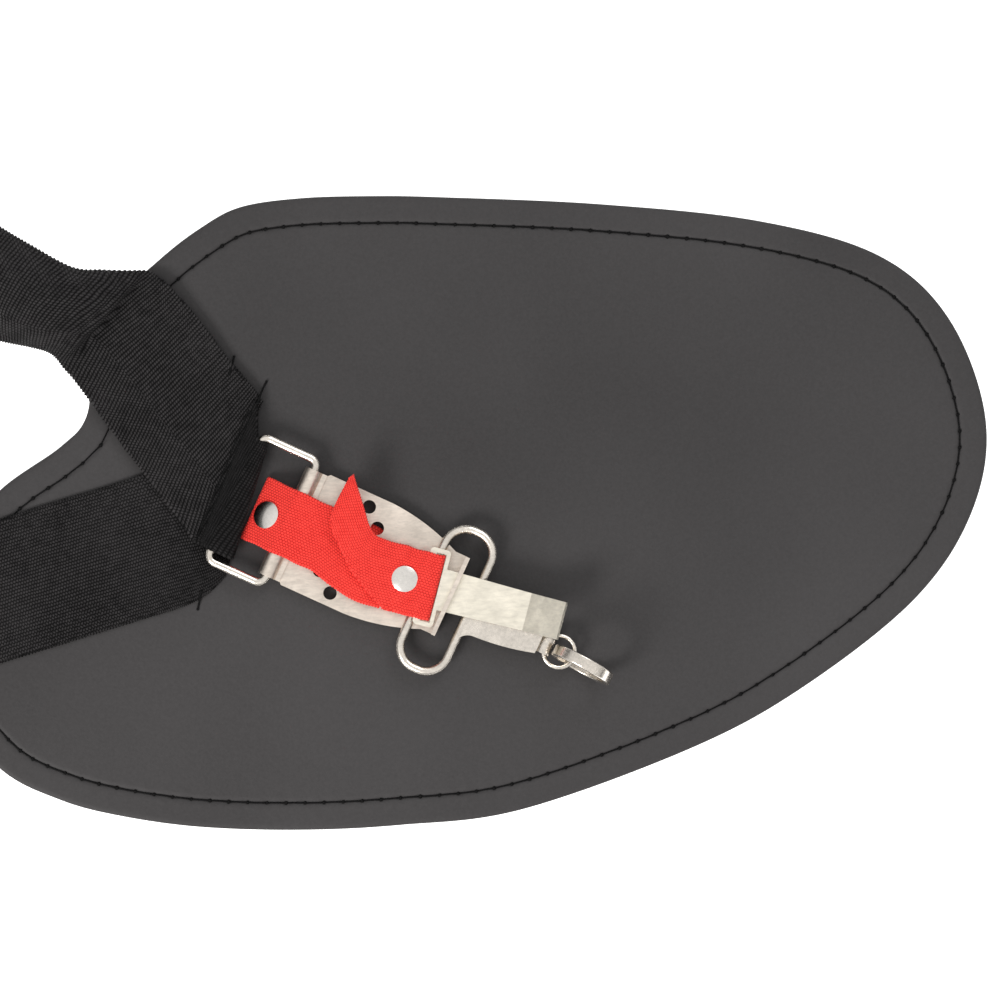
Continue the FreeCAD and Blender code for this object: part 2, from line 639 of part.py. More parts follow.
# ---------------------------------------------------------------- adjusters
def adjuster():
    """A ladder-lock frame, its first bar at the origin and x pointing away from the strap."""
    outer = ADJ_HALF_IN + ADJ_RAIL
    low, high = -ADJ_T / 2, ADJ_T / 2
    pieces = [Part.makeCylinder(ADJ_BAR_R, 2 * ADJ_HALF_IN + 2, V(0, -ADJ_HALF_IN - 1, 0), V(0, 1, 0))]
    for side in (-1, 1):
        inner_y, outer_y = sorted((side * ADJ_HALF_IN, side * outer))
        rail = box((-ADJ_BAR_R - 0.8, ADJ_BARS[2] + 2.0), (inner_y, outer_y), (low, high))
        upright = [edge for edge in rail.Edges
                   if abs(edge.Vertexes[0].Z - edge.Vertexes[1].Z) > ADJ_T / 2]
        pieces.append(rail.makeFillet(1.5, upright))
    for x in ADJ_BARS[1:]:
        pieces.append(box((x - 1.9, x + 1.9), (-ADJ_HALF_IN - 0.5, ADJ_HALF_IN + 0.5), (low, high)))
    x = ADJ_BARS[2]
    lip = box((x, x + ADJ_LIP), (-ADJ_HALF_IN + 4, ADJ_HALF_IN - 4), (low, low + 2.0))
    pieces.append(turned(lip, -18, (x, 0, low), (0, 1, 0)))
    return joined(pieces)


def make_adjusters():
    for name, end, direction in (("upper", UPPER_END, UPPER_END_DIR),
                                 ("lower", LOWER_END, LOWER_END_DIR)):
        frame = adjuster()
        frame.translate(V(END_TAIL, 0, ADJ_Z))
        save("adjuster_" + name, place_at_end(frame, end, direction))


os.makedirs("parts", exist_ok=True)
make_pad()
make_straps()
make_stitching()
make_ring()
make_plate()
make_tongue()
make_hook()
make_rings()
make_anchor()
make_lead()
make_run()
make_pull_loop()
make_adjusters()
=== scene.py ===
import bpy
import math
import random
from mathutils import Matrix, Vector
from mathutils.geometry import delaunay_2d_cdt


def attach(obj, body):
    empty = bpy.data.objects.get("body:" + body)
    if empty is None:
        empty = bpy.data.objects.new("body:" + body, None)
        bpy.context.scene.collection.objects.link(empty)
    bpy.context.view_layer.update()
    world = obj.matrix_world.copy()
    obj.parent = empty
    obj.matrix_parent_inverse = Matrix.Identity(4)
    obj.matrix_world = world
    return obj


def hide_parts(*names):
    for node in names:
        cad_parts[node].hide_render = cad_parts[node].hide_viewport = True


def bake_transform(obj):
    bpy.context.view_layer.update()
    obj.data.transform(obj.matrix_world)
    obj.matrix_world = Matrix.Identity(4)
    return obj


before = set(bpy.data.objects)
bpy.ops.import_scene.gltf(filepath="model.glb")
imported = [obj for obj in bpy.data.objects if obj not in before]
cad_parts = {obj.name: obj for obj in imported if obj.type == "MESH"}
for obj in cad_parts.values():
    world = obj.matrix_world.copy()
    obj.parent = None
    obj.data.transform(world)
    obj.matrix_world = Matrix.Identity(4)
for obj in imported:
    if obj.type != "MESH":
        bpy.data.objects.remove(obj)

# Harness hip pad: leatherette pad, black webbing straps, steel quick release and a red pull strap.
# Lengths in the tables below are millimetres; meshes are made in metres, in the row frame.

random.seed(7)
MM = 0.001
PLATE_TURN = math.radians(-24.5)
TONGUE_TURN = math.radians(10.0)
TONGUE_AT = (65.0, 0.5)

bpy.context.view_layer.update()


# ---------------------------------------------------------------- frames
def row(x, y, z):
    """Millimetres in the row frame to metres."""
    return Vector((x, y, z)) * MM


def plate(x, y, z):
    """A point of the steel parts' plan frame, to the row frame in metres."""
    c, s = math.cos(PLATE_TURN), math.sin(PLATE_TURN)
    return Vector((x * c - y * s, x * s + y * c, z)) * MM


def tongue_to_plate(x, y):
    """A point of the tongue's plan frame, to the plate's."""
    c, s = math.cos(TONGUE_TURN), math.sin(TONGUE_TURN)
    return TONGUE_AT[0] + x * c - y * s, TONGUE_AT[1] + x * s + y * c


def smooth(t):
    """0 to 1 with a soft start and end."""
    t = min(1.0, max(0.0, t))
    return t * t * (3 - 2 * t)


def catmull(points, t):
    """A point on the smooth line through the given tuples, t from 0 to len - 1."""
    last = len(points) - 1
    i = min(int(t), last - 1)
    f = t - i
    p0, p1 = points[max(i - 1, 0)], points[i]
    p2, p3 = points[i + 1], points[min(i + 2, last)]
    out = []
    for a, b, c, d in zip(p0, p1, p2, p3):
        out.append(0.5 * (2 * b + (c - a) * f + (2 * a - 5 * b + 4 * c - d) * f * f
                          + (3 * b - a - 3 * c + d) * f ** 3))
    return out


def running_lengths(points):
    """How far along the line each point lies."""
    lengths = [0.0]
    for a, b in zip(points, points[1:]):
        lengths.append(lengths[-1] + math.dist(a, b))
    return lengths


def along_line(points, step, per_span=24):
    """Points at an even spacing along the smooth line through the given tuples."""
    dense = [catmull(points, i / per_span) for i in range((len(points) - 1) * per_span + 1)]
    lengths = running_lengths(dense)
    count = max(2, round(lengths[-1] / step))
    out = []
    j = 0
    for i in range(count + 1):
        target = lengths[-1] * i / count
        while j < len(dense) - 2 and lengths[j + 1] < target:
            j += 1
        span = lengths[j + 1] - lengths[j] or 1.0
        f = (target - lengths[j]) / span
        out.append([a + (b - a) * f for a, b in zip(dense[j], dense[j + 1])])
    return out


# ---------------------------------------------------------------- materials
class Nodes:
    """A material's node tree with short calls for the usual nodes."""

    def __init__(self, name):
        self.material = bpy.data.materials.new(name)
        self.material.use_nodes = True
        self.tree = self.material.node_tree
        self.shader = self.tree.nodes["Principled BSDF"]

    def link(self, value, socket):
        if isinstance(value, bpy.types.NodeSocket):
            self.tree.links.new(value, socket)
        else:
            socket.default_value = value

    def math(self, operation, a, b=0.0, c=0.0):
        node = self.tree.nodes.new("ShaderNodeMath")
        node.operation = operation
        for value, socket in zip((a, b, c), node.inputs):
            self.link(value, socket)
        return node.outputs[0]

    def place(self, kind="Object"):
        return self.tree.nodes.new("ShaderNodeTexCoord").outputs[kind]

    def split(self, vector):
        node = self.tree.nodes.new("ShaderNodeSeparateXYZ")
        self.link(vector, node.inputs[0])
        return node.outputs

    def scaled(self, vector, scale, turn=0.0):
        node = self.tree.nodes.new("ShaderNodeMapping")
        self.link(vector, node.inputs["Vector"])
        node.inputs["Scale"].default_value = scale
        node.inputs["Rotation"].default_value = (0.0, 0.0, turn)
        return node.outputs[0]

    def noise(self, vector, scale, detail=3.0, rough=0.5, distortion=0.0):
        node = self.tree.nodes.new("ShaderNodeTexNoise")
        self.link(vector, node.inputs["Vector"])
        node.inputs["Scale"].default_value = scale
        node.inputs["Detail"].default_value = detail
        node.inputs["Roughness"].default_value = rough
        node.inputs["Distortion"].default_value = distortion
        return node.outputs["Fac"]

    def cells(self, vector, scale, spread=1.0):
        node = self.tree.nodes.new("ShaderNodeTexVoronoi")
        self.link(vector, node.inputs["Vector"])
        node.inputs["Scale"].default_value = scale
        node.inputs["Randomness"].default_value = spread
        return node.outputs["Distance"]

    def ramp(self, value, stops):
        node = self.tree.nodes.new("ShaderNodeValToRGB")
        self.link(value, node.inputs[0])
        bar = node.color_ramp
        while len(bar.elements) < len(stops):
            bar.elements.new(0.5)
        for element, (place, colour) in zip(bar.elements, stops):
            element.position = place
            element.color = (*colour, 1.0)
        return node.outputs[0]

    def bump(self, height, distance, strength):
        node = self.tree.nodes.new("ShaderNodeBump")
        self.link(height, node.inputs["Height"])
        node.inputs["Distance"].default_value = distance
        node.inputs["Strength"].default_value = strength
        return node.outputs[0]

    def finish(self, colour, roughness, metallic=0.0, normal=None, **rest):
        self.link(colour, self.shader.inputs["Base Color"])
        self.link(roughness, self.shader.inputs["Roughness"])
        self.shader.inputs["Metallic"].default_value = metallic
        if normal is not None:
            self.link(normal, self.shader.inputs["Normal"])
        for name, value in rest.items():
            self.link(value, self.shader.inputs[name.replace("_", " ")])
        return self.material


def leatherette():
    """Grained black leatherette, a little lighter in broad random patches."""
    n = Nodes("leatherette_front")
    place = n.place()
    grain = n.cells(place, 900.0)
    pores = n.cells(place, 420.0, spread=0.9)
    speck = n.noise(place, 950.0, 3.0, 0.7)
    broad = n.noise(place, 7.0, 2.0, 0.5)
    tone = n.math("MULTIPLY_ADD", speck, 0.34, n.math("MULTIPLY", broad, 0.55))
    colour = n.ramp(tone, [(0.22, (0.028, 0.0265, 0.0272)), (0.66, (0.057, 0.0545, 0.0558))])
    height = n.math("MULTIPLY_ADD", grain, 0.5, n.math("MULTIPLY", pores, 0.5))
    rough = n.math("MULTIPLY_ADD", speck, 0.16, 0.5)
    return n.finish(colour, rough, normal=n.bump(height, 0.00012, 0.55), Specular_IOR_Level=0.22)


def backing():
    """Knitted backing: short loops in close columns."""
    n = Nodes("knit_backing")
    place = n.place()
    x, y, _ = n.split(n.scaled(place, (1000.0, 1000.0, 1000.0)))
    column = n.math("SINE", n.math("MULTIPLY", x, 4.6))
    lean = n.math("MULTIPLY_ADD", column, 0.5, y)
    loop = n.math("SINE", n.math("MULTIPLY", lean, 5.4))
    height = n.math("MULTIPLY", n.math("ABSOLUTE", column), n.math("MULTIPLY_ADD", loop, 0.35, 0.65))
    fuzz = n.noise(place, 2600.0, 3.0)
    # loops painted lighter where they stand highest and darker between them: painted highlight and
    # painted shade over the knit
    tone = n.math("MULTIPLY_ADD", fuzz, 0.5, n.math("MULTIPLY", height, 0.5))
    colour = n.ramp(tone, [(0.2, (0.018, 0.018, 0.019)), (0.8, (0.06, 0.06, 0.063))])
    return n.finish(colour, 0.92, normal=n.bump(height, 0.0002, 0.8), Sheen_Weight=0.25)


def foam():
    """Cut edge of grey closed-cell foam."""
    n = Nodes("closed_cell_foam")
    place = n.place()
    cell = n.cells(place, 1100.0)
    # cut cells painted darker in their hollows and lighter on their walls: painted shade
    colour = n.ramp(cell, [(0.0, (0.1, 0.1, 0.1)), (0.5, (0.27, 0.27, 0.265))])
    return n.finish(colour, 0.85, normal=n.bump(cell, 0.0003, 0.8))


def board():
    """Fibre board, its fibres lying one way."""
    n = Nodes("fibre_board")
    place = n.place()
    fibre = n.noise(n.scaled(place, (300.0, 1400.0, 300.0)), 1.0, 4.0, 0.6)
    colour = n.ramp(fibre, [(0.3, (0.08, 0.08, 0.082)), (0.7, (0.15, 0.15, 0.152))])
    return n.finish(colour, 0.7, normal=n.bump(fibre, 0.0001, 0.4))


def thread():
    """Black sewing thread, fine and uneven."""
    n = Nodes("black_thread")
    place = n.place()
    ply = n.noise(n.scaled(place, (2600.0, 2600.0, 2600.0)), 1.0, 2.0)
    colour = n.ramp(ply, [(0.3, (0.003, 0.003, 0.0031)), (0.75, (0.011, 0.011, 0.0114))])
    return n.finish(colour, 0.85, normal=n.bump(ply, 0.00015, 0.7), Specular_IOR_Level=0.1)


def webbing(name, dark, light, pitch, pick, lean, flip_at=-1.0, columns=0.5, picks=0.9,
            depth=0.00035, sheen=0.02, shine=0.08, painted_float_shading=1.0):
    """Woven webbing.  Floats of warp stand in columns, pitch metres apart and pick metres long.  Each
    column is shifted by lean of a float, and the other way beyond flip_at, metres across."""
    n = Nodes(name)
    across, along, _ = n.split(n.place("UV"))
    place = n.place()
    stray = n.math("MULTIPLY", n.math("SUBTRACT", n.noise(place, 150.0, 2.0), 0.5), 0.0009)
    column = n.math("DIVIDE", n.math("ADD", across, stray), pitch)
    number = n.math("FLOOR", column)
    side = n.math("SIGN", n.math("SUBTRACT", across, flip_at))
    shift = n.math("MULTIPLY", n.math("MULTIPLY", number, lean), side)
    floats = n.math("FRACT", n.math("ADD", n.math("DIVIDE", n.math("ADD", along, stray), pick), shift))
    within = n.math("FRACT", column)
    round_x = n.math("SINE", n.math("MULTIPLY", within, math.pi))
    round_y = n.math("SINE", n.math("MULTIPLY", floats, math.pi))
    knuckle = n.math("MULTIPLY", n.math("POWER", round_x, columns), n.math("POWER", round_y, picks))
    fibre = n.noise(place, 3800.0, 2.0, 0.7)
    uneven = n.noise(place, 330.0, 2.0, 0.5)
    broad = n.noise(place, 38.0, 2.0, 0.5)
    height = n.math("MULTIPLY_ADD", fibre, 0.22, knuckle)
    # floats painted lighter on top and darker in the gaps between them: painted highlight and painted
    # shade laid over the real weave pattern; the next line sets its strength
    tone = n.math("MULTIPLY", knuckle, n.math("MULTIPLY_ADD", uneven, 1.1, 0.4))
    tone = n.math("MULTIPLY", tone, painted_float_shading)
    tone = n.math("MULTIPLY_ADD", n.math("SUBTRACT", broad, 0.5), 0.5, tone)
    tone = n.math("MULTIPLY_ADD", n.math("SUBTRACT", fibre, 0.5), 0.35, tone)
    colour = n.ramp(tone, [(0.12, dark), (1.0, light)])
    return n.finish(colour, 0.75, normal=n.bump(height, depth, 0.9), Sheen_Weight=sheen,
                    Sheen_Roughness=0.4, Specular_IOR_Level=shine)


def nickel(name, colour, rough, brushed, turn=0.0, scale=(1.0, 1.0, 1.0), wear=0.3, dent=0.00012):
    """Nickel plating with fine polishing marks, faint stains and small dents."""
    n = Nodes(name)
    place = n.place()
    marks = n.noise(n.scaled(place, scale, turn), 900.0, 4.0, 0.65)
    cloud = n.noise(place, 120.0, 4.0, 0.65, 0.6)
    dents = n.noise(place, 170.0, 2.0, 0.4)
    dark = tuple(c * (1.0 - wear) for c in colour)
    tone = n.math("MULTIPLY_ADD", marks, 0.5, n.math("MULTIPLY", cloud, 0.5))
    shade = n.ramp(tone, [(0.3, dark), (0.62, colour)])
    roughness = n.math("MULTIPLY_ADD", cloud, 0.16, n.math("MULTIPLY_ADD", marks, brushed, rough))
    height = n.math("MULTIPLY_ADD", marks, 0.25, dents)
    return n.finish(shade, roughness, 1.0, n.bump(height, dent, 0.45))


def plastic():
    """Moulded black plastic with a fine spark texture."""
    n = Nodes("moulded_black_plastic")
    place = n.place()
    spark = n.cells(place, 1700.0)
    cloud = n.noise(place, 60.0, 2.0)
    colour = n.ramp(cloud, [(0.3, (0.012, 0.012, 0.0125)), (0.7, (0.024, 0.024, 0.025))])
    rough = n.math("MULTIPLY_ADD", cloud, 0.12, 0.4)
    return n.finish(colour, rough, normal=n.bump(spark, 0.00008, 0.5))


LEATHER = leatherette()
KNIT = backing()
FOAM = foam()
BOARD = board()
THREAD = thread()
BLACK_WEB = webbing("black_webbing", (0.003, 0.0028, 0.003), (0.044, 0.0418, 0.043),
                    pitch=0.00102, pick=0.00142, lean=0.13, flip_at=-0.0085, picks=1.1)
BLACK_WEB_LOW = webbing("black_webbing_low", (0.003, 0.0028, 0.003), (0.04, 0.038, 0.0392),
                        pitch=0.00124, pick=0.00108, lean=0.5, columns=0.8, picks=0.7)
# the turn is the upper strap's weave painted darker with fainter floats: painted shade
BLACK_WEB_TURN_SHADED = webbing("black_webbing_turned_painted_shade", (0.0025, 0.0024, 0.0025), (0.025, 0.0237, 0.0245),
                         pitch=0.00102, pick=0.0014, lean=0.13, painted_float_shading=0.8)
RED_WEB = webbing("red_webbing", (0.56, 0.014, 0.011), (0.98, 0.06, 0.046),
                  pitch=0.00095, pick=0.00115, lean=0.5, columns=0.7, picks=0.7, depth=0.00026,
                  sheen=0.08, shine=0.2, painted_float_shading=1.35)
DRAWN_OUT = (0.25, 1.0, 1.0)        # polishing marks four times as long as wide
WIRE = nickel("nickel_wire", (0.92, 0.86, 0.78), rough=0.12, brushed=0.1, wear=0.3, dent=0.0002)
SHEET = nickel("nickel_sheet", (0.92, 0.825, 0.73), rough=0.2, brushed=0.14, turn=PLATE_TURN,
               scale=DRAWN_OUT, wear=0.34, dent=0.0003)
BLADE = nickel("nickel_blade", (0.95, 0.9, 0.78), rough=0.28, brushed=0.14,
               turn=PLATE_TURN + TONGUE_TURN, scale=DRAWN_OUT, wear=0.24, dent=0.0003)
CAP = nickel("nickel_cap", (0.9, 0.87, 0.83), rough=0.06, brushed=0.08, wear=0.15)
PLASTIC = plastic()


# ---------------------------------------------------------------- meshes
def add_mesh(name, verts, faces, material, smooth_faces=True, uv=None):
    """A named mesh object.  uv is one (u, v) per corner, in face order."""
    data = bpy.data.meshes.new(name)
    data.from_pydata([tuple(v) for v in verts], [], faces)
    data.materials.append(material)
    if uv is not None:
        layer = data.uv_layers.new(name="UVMap")
        layer.data.foreach_set("uv", [c for pair in uv for c in pair])
    if smooth_faces:
        data.polygons.foreach_set("use_smooth", [True] * len(data.polygons))
    data.validate()
    data.update()
    thing = bpy.data.objects.new(name, data)
    bpy.context.scene.collection.objects.link(thing)
    return thing


def keep_sharp(thing, degrees=35.0):
    """Smooth shading, but edges sharper than this stay crisp."""
    limit = math.radians(degrees)
    faces_of = {}
    for face in thing.data.polygons:
        for key in face.edge_keys:
            faces_of.setdefault(key, []).append(face.normal)
    thing.data.polygons.foreach_set("use_smooth", [True] * len(thing.data.polygons))
    for edge in thing.data.edges:
        normals = faces_of.get(edge.key, ())
        edge.use_edge_sharp = len(normals) != 2 or normals[0].angle(normals[1], 0.0) > limit


SELVEDGE_STEPS = 4
RIPPLE_FINE, RIPPLE_BROAD = 260.0, 95.0     # radians per metre along the strap
OFF_AXIS = Vector((0.13, 0.21, 1.0))        # a direction that no thread follows


def ribbon_faces(row_count, columns):
    """Faces of a ribbon's skin, then of its two cut ends."""
    loop_len = 2 * (columns + SELVEDGE_STEPS)
    faces = []
    for i in range(row_count - 1):
        here, ahead = i * loop_len, (i + 1) * loop_len
        for j in range(loop_len):
            k = (j + 1) % loop_len
            faces.append((here + j, here + k, ahead + k, ahead + j))
    for start, flip in ((0, True), ((row_count - 1) * loop_len, False)):
        caps = []
        for j in range(columns):
            low = start + columns + SELVEDGE_STEPS + columns - j
            caps.append((start + j, start + j + 1, low - 1, low))
        caps.append(tuple(start + columns + k for k in range(SELVEDGE_STEPS + 1)))
        caps.append(tuple(start + (2 * columns + SELVEDGE_STEPS + k) % loop_len
                          for k in range(SELVEDGE_STEPS + 1)))
        faces += [cap[::-1] if flip else cap for cap in caps]
    return faces


def ribbon(name, rows, thickness, columns, material, scallop=0.0, scallop_pitch=1.3, ripple=0.0,
           flip_uv=False, from_left=None):
    """Webbing.  rows are (left, right, bulge) with left and right as row-frame points in metres and
    bulge the height of an arch across, in metres.  The section has round selvedges.  The weave is
    centred, or starts from_left metres left of the middle where a strap is cut at a slant."""
    half = thickness / 2
    verts, uv_of = [], []
    centre = [(left + right) / 2 for left, right, _ in rows]
    distance = [0.0]
    for a, b in zip(centre, centre[1:]):
        distance.append(distance[-1] + (b - a).length)
    for i, (left, right, bulge) in enumerate(rows):
        before, after = rows[max(i - 1, 0)], rows[min(i + 1, len(rows) - 1)]
        side = (right - left).normalized()
        width = (right - left).length
        notch = scallop * (0.5 - 0.5 * math.cos(2 * math.pi * distance[i] / (scallop_pitch * MM)))
        left, right = left + side * notch, right - side * notch
        line = []
        for j in range(columns + 1):
            t = j / columns
            lift = bulge * (1 - (2 * t - 1) ** 2)
            forward = ((after[0] - before[0]) * (1 - t) + (after[1] - before[1]) * t).normalized()
            slope_side = (side * width + Vector((0, 0, 1)) * bulge * 4 * (1 - 2 * t)).normalized()
            up = slope_side.cross(forward).normalized()
            base = left.lerp(right, t)
            arch_way = side.cross(forward).normalized()
            wave = 0.0
            if ripple:
                wave = ripple * (math.sin(distance[i] * RIPPLE_FINE + t * 5) * 0.5
                                 + math.sin(distance[i] * RIPPLE_BROAD - t * 9 + 1.3) * 0.5)
            line.append((base + arch_way * (lift + wave), up, slope_side, t))
        section = [(point + up * half, t) for point, up, _, t in line]
        for k in range(1, SELVEDGE_STEPS):
            a = math.pi * k / SELVEDGE_STEPS
            point, up, out, t = line[-1]
            section.append((point + up * half * math.cos(a) + out * half * math.sin(a), t))
        for point, up, _, t in reversed(line):
            section.append((point - up * half, t))
        for k in range(1, SELVEDGE_STEPS):
            a = math.pi * k / SELVEDGE_STEPS
            point, up, out, t = line[0]
            section.append((point - up * half * math.cos(a) - out * half * math.sin(a), t))
        for point, t in section:
            verts.append(point)
            across = (t - 0.5) * width if from_left is None else t * width - from_left
            uv_of.append((-across if flip_uv else across, distance[i]))
    faces = ribbon_faces(len(rows), columns)
    uv = [uv_of[v] for face in faces for v in face]
    strap = add_mesh(name, verts, faces, material, uv=uv)
    keep_sharp(strap, degrees=60.0)
    return strap


def tube(points, radius, sides=8):
    """A round thread along points in metres, its ends closed."""
    verts, faces = [], []
    for i, point in enumerate(points):
        ahead = points[min(i + 1, len(points) - 1)] - points[max(i - 1, 0)]
        forward = ahead.normalized()
        side = forward.cross(OFF_AXIS).normalized()
        up = side.cross(forward)
        for k in range(sides):
            a = 2 * math.pi * k / sides
            verts.append(point + (side * math.cos(a) + up * math.sin(a)) * radius)
    for i in range(len(points) - 1):
        for k in range(sides):
            m = (k + 1) % sides
            faces.append(((i + 1) * sides + k, (i + 1) * sides + m, i * sides + m, i * sides + k))
    last = (len(points) - 1) * sides
    faces.append(tuple(range(sides)))
    faces.append(tuple(range(last + sides - 1, last - 1, -1)))
    return verts, faces


def merged(name, parts, material):
    """One mesh of several (verts, faces) parts."""
    verts, faces = [], []
    for part_verts, part_faces in parts:
        start = len(verts)
        verts += part_verts
        faces += [tuple(v + start for v in face) for face in part_faces]
    return add_mesh(name, verts, faces, material)


# ---------------------------------------------------------------- pad
SKIN = 1.0
PAD_TOP = 8.0
STITCH_INSET = 10.0
STITCH_PITCH = 7.2
STITCH_STEPS = 6            # points of the edge from one needle hole to the next
SPAN_STEPS = 24             # points of the spline from one outline point to the next
EASE_EVERY = 3              # an inset ring is eased once for each of these millimetres
ROLL_WIDTH, ROLL_DROP = 2.2, 0.9
SEAM_WIDTH = 0.95
HOLE_WIDTH, HOLE_DEPTH, HOLE_SHARE = 0.5, 0.5, 0.07
PUCKER_AWAY, PUCKER_WIDTH = 3.0, 2.2
GRID, JITTER = 5.0, 0.6
CLEAR_OF_RIM = 12.0         # square millimetres
SWELL = 0.084
CDT_GAP = 0.0001
THREAD_R, KNOT_R = 0.28, 0.66
BACK_LEVELS = [(1.2, 0.2), (0.9, 0.0), (0.35, 0.05), (0.1, 0.4), (0.0, 1.2)]    # height, inset
FOAM_LEVELS = [(6.9, 0.35), (6.2, 0.1), (4.6, -0.12), (3.0, -0.12), (1.6, 0.05), (1.0, 0.3)]
# how far along an edge stitch, and its height there
EDGE_STITCH = ((0.05, -0.75), (0.1, -0.42), (0.18, -0.24), (0.35, -0.14), (0.5, -0.1),
               (0.65, -0.14), (0.82, -0.24), (0.9, -0.42), (0.95, -0.75))
# the pad's outline, clockwise from its upper left shoulder
PAD_OUTLINE = [
    (3, 119.3), (28.9, 120.1), (54.8, 119.7), (114, 117.1), (173.2, 110.8), (217.6, 97.9),
    (243.5, 74.2), (256.8, 37.2), (251.6, 3.1), (230.1, -29.4), (187.6, -62.7), (146.2, -84.9),
    (84.4, -107.1), (40, -112.7), (3, -114.5), (-34, -113.4), (-63.6, -109.3), (-85.8, -103.4),
    (-108, -91.9), (-128.4, -66.4), (-135.4, -38.7), (-124.7, -9.1), (-108, 11.3),
    (-85.8, 27.2), (-76.2, 38.3), (-72.9, 59.4), (-61.8, 83.4), (-48.8, 96.8), (-34, 108.2),
    (-19.2, 116),
]


def pad_edge():
    """Points round the pad's edge at an even spacing, the way inwards at each, and the stitches."""
    closed = PAD_OUTLINE[-2:] + PAD_OUTLINE + PAD_OUTLINE[:3]
    dense = [catmull(closed, 2 + i / SPAN_STEPS) for i in range(len(PAD_OUTLINE) * SPAN_STEPS)]
    dense.append(dense[0])
    lengths = running_lengths(dense)
    stitches = round(lengths[-1] / STITCH_PITCH)
    count = stitches * STITCH_STEPS
    points = []
    j = 0
    for i in range(count):
        target = lengths[-1] * i / count
        while lengths[j + 1] < target:
            j += 1
        f = (target - lengths[j]) / (lengths[j + 1] - lengths[j])
        points.append(Vector(dense[j]).lerp(Vector(dense[j + 1]), f))
    inward = []
    for i in range(count):
        ahead = points[(i + 1) % count] - points[i - 1]
        inward.append(Vector((ahead.y, -ahead.x)).normalized())
    return points, inward, stitches


EDGE, INWARD, STITCHES = pad_edge()


def ring_at(inset):
    """The edge moved inwards, eased where the outline turns in on itself."""
    count = len(EDGE)
    ring = [EDGE[i] + INWARD[i] * inset for i in range(count)]
    for _ in range(int(inset / EASE_EVERY)):
        ring = [ring[i] * 0.5 + (ring[i - 1] + ring[(i + 1) % count]) * 0.25 for i in range(count)]
    return ring


def skin_height(inset, phase):
    """Height of the front skin above its flat level; phase runs 0 to 1 from hole to hole."""
    roll = 0.0
    if inset < ROLL_WIDTH:
        roll = -ROLL_DROP * (1 - math.sqrt(max(0.0, 1 - (1 - inset / ROLL_WIDTH) ** 2)))
    off = inset - STITCH_INSET
    tight = 0.5 + 0.5 * math.cos(2 * math.pi * phase)
    seam = -(0.5 + 0.16 * tight) * math.exp(-(off / SEAM_WIDTH) ** 2)
    near_hole = math.exp(-(min(phase, 1 - phase) / HOLE_SHARE) ** 2)
    hole = -HOLE_DEPTH * math.exp(-(off / HOLE_WIDTH) ** 2) * near_hole
    pucker = 0.1 * tight * math.exp(-((abs(off) - PUCKER_AWAY) / PUCKER_WIDTH) ** 2)
    return roll + seam + hole - pucker


# rings of the front skin, closest together at the seam
INSETS = [0.0, 0.25, 0.6, 1.1, 1.6, 2.2, 3.4, 5.0, 6.6, 7.8, 8.6, 9.1, 9.5, 9.8, 10.0, 10.2, 10.5,
          10.9, 11.4, 12.2, 13.6, 15.6, 18.5]


def in_polygon(place, polygon):
    """Whether a point is inside a closed outline, by the sides it crosses."""
    x, y = place
    odd = False
    for (xa, ya), (xb, yb) in zip(polygon, polygon[1:] + polygon[:1]):
        if (ya > y) != (yb > y) and x < (xb - xa) * (y - ya) / (yb - ya) + xa:
            odd = not odd
    return odd


def scatter_inside(border):
    """Places on an uneven grid inside the border and clear of it."""
    low_x, low_y = (min(place[k] for place in border) for k in (0, 1))
    high_x, high_y = (max(place[k] for place in border) for k in (0, 1))
    inside = []
    y = low_y
    while y < high_y:
        x = low_x
        while x < high_x:
            place = (x + random.uniform(-JITTER, JITTER), y + random.uniform(-JITTER, JITTER))
            near = min((place[0] - bx) ** 2 + (place[1] - by) ** 2 for bx, by in border[::3])
            if near > CLEAR_OF_RIM and in_polygon(place, border):
                inside.append(place)
            x += GRID
        y += GRID
    return inside


def make_front_skin():
    count = len(EDGE)
    verts, faces = [], []
    for inset in INSETS:
        for i, point in enumerate(ring_at(inset)):
            phase = (i % STITCH_STEPS) / STITCH_STEPS
            verts.append(row(point.x, point.y, PAD_TOP + skin_height(inset, phase)))
    for r in range(len(INSETS) - 1):
        for i in range(count):
            k = (i + 1) % count
            faces.append((r * count + i, (r + 1) * count + i, (r + 1) * count + k, r * count + k))
    inner = (len(INSETS) - 1) * count
    border = [(v.x / MM, v.y / MM) for v in verts[inner:]]
    points = [Vector(p) for p in border + scatter_inside(border)]
    places, _, cells, origins, _, _ = delaunay_2d_cdt(points, [], [tuple(range(count))], 1, CDT_GAP)
    index = []
    for place, origin in zip(places, origins):
        if origin and origin[0] < count:
            index.append(inner + origin[0])
        else:
            swell = SWELL * math.sin(place.x / 31.0) * math.sin(place.y / 27.0 + 0.7)
            index.append(len(verts))
            verts.append(row(place.x, place.y, PAD_TOP + swell))
    for face in cells:
        faces.append(tuple(index[v] for v in face))
    # the skin's cut edge
    low = len(verts)
    for i, point in enumerate(EDGE):
        at = point + INWARD[i] * 0.15
        verts.append(row(at.x, at.y, PAD_TOP - SKIN - ROLL_DROP))
    for i in range(count):
        k = (i + 1) % count
        faces.append((i, k, low + k, low + i))
    return add_mesh("skin_front", verts, faces, LEATHER)


def edge_band(levels):
    """A band round the pad through (height, inset) levels."""
    count = len(EDGE)
    verts, faces = [], []
    for height, inset in levels:
        for i, point in enumerate(EDGE):
            at = point + INWARD[i] * inset
            verts.append(row(at.x, at.y, height))
    for r in range(len(levels) - 1):
        for i in range(count):
            k = (i + 1) % count
            faces.append((r * count + i, r * count + k, (r + 1) * count + k, (r + 1) * count + i))
    return verts, faces


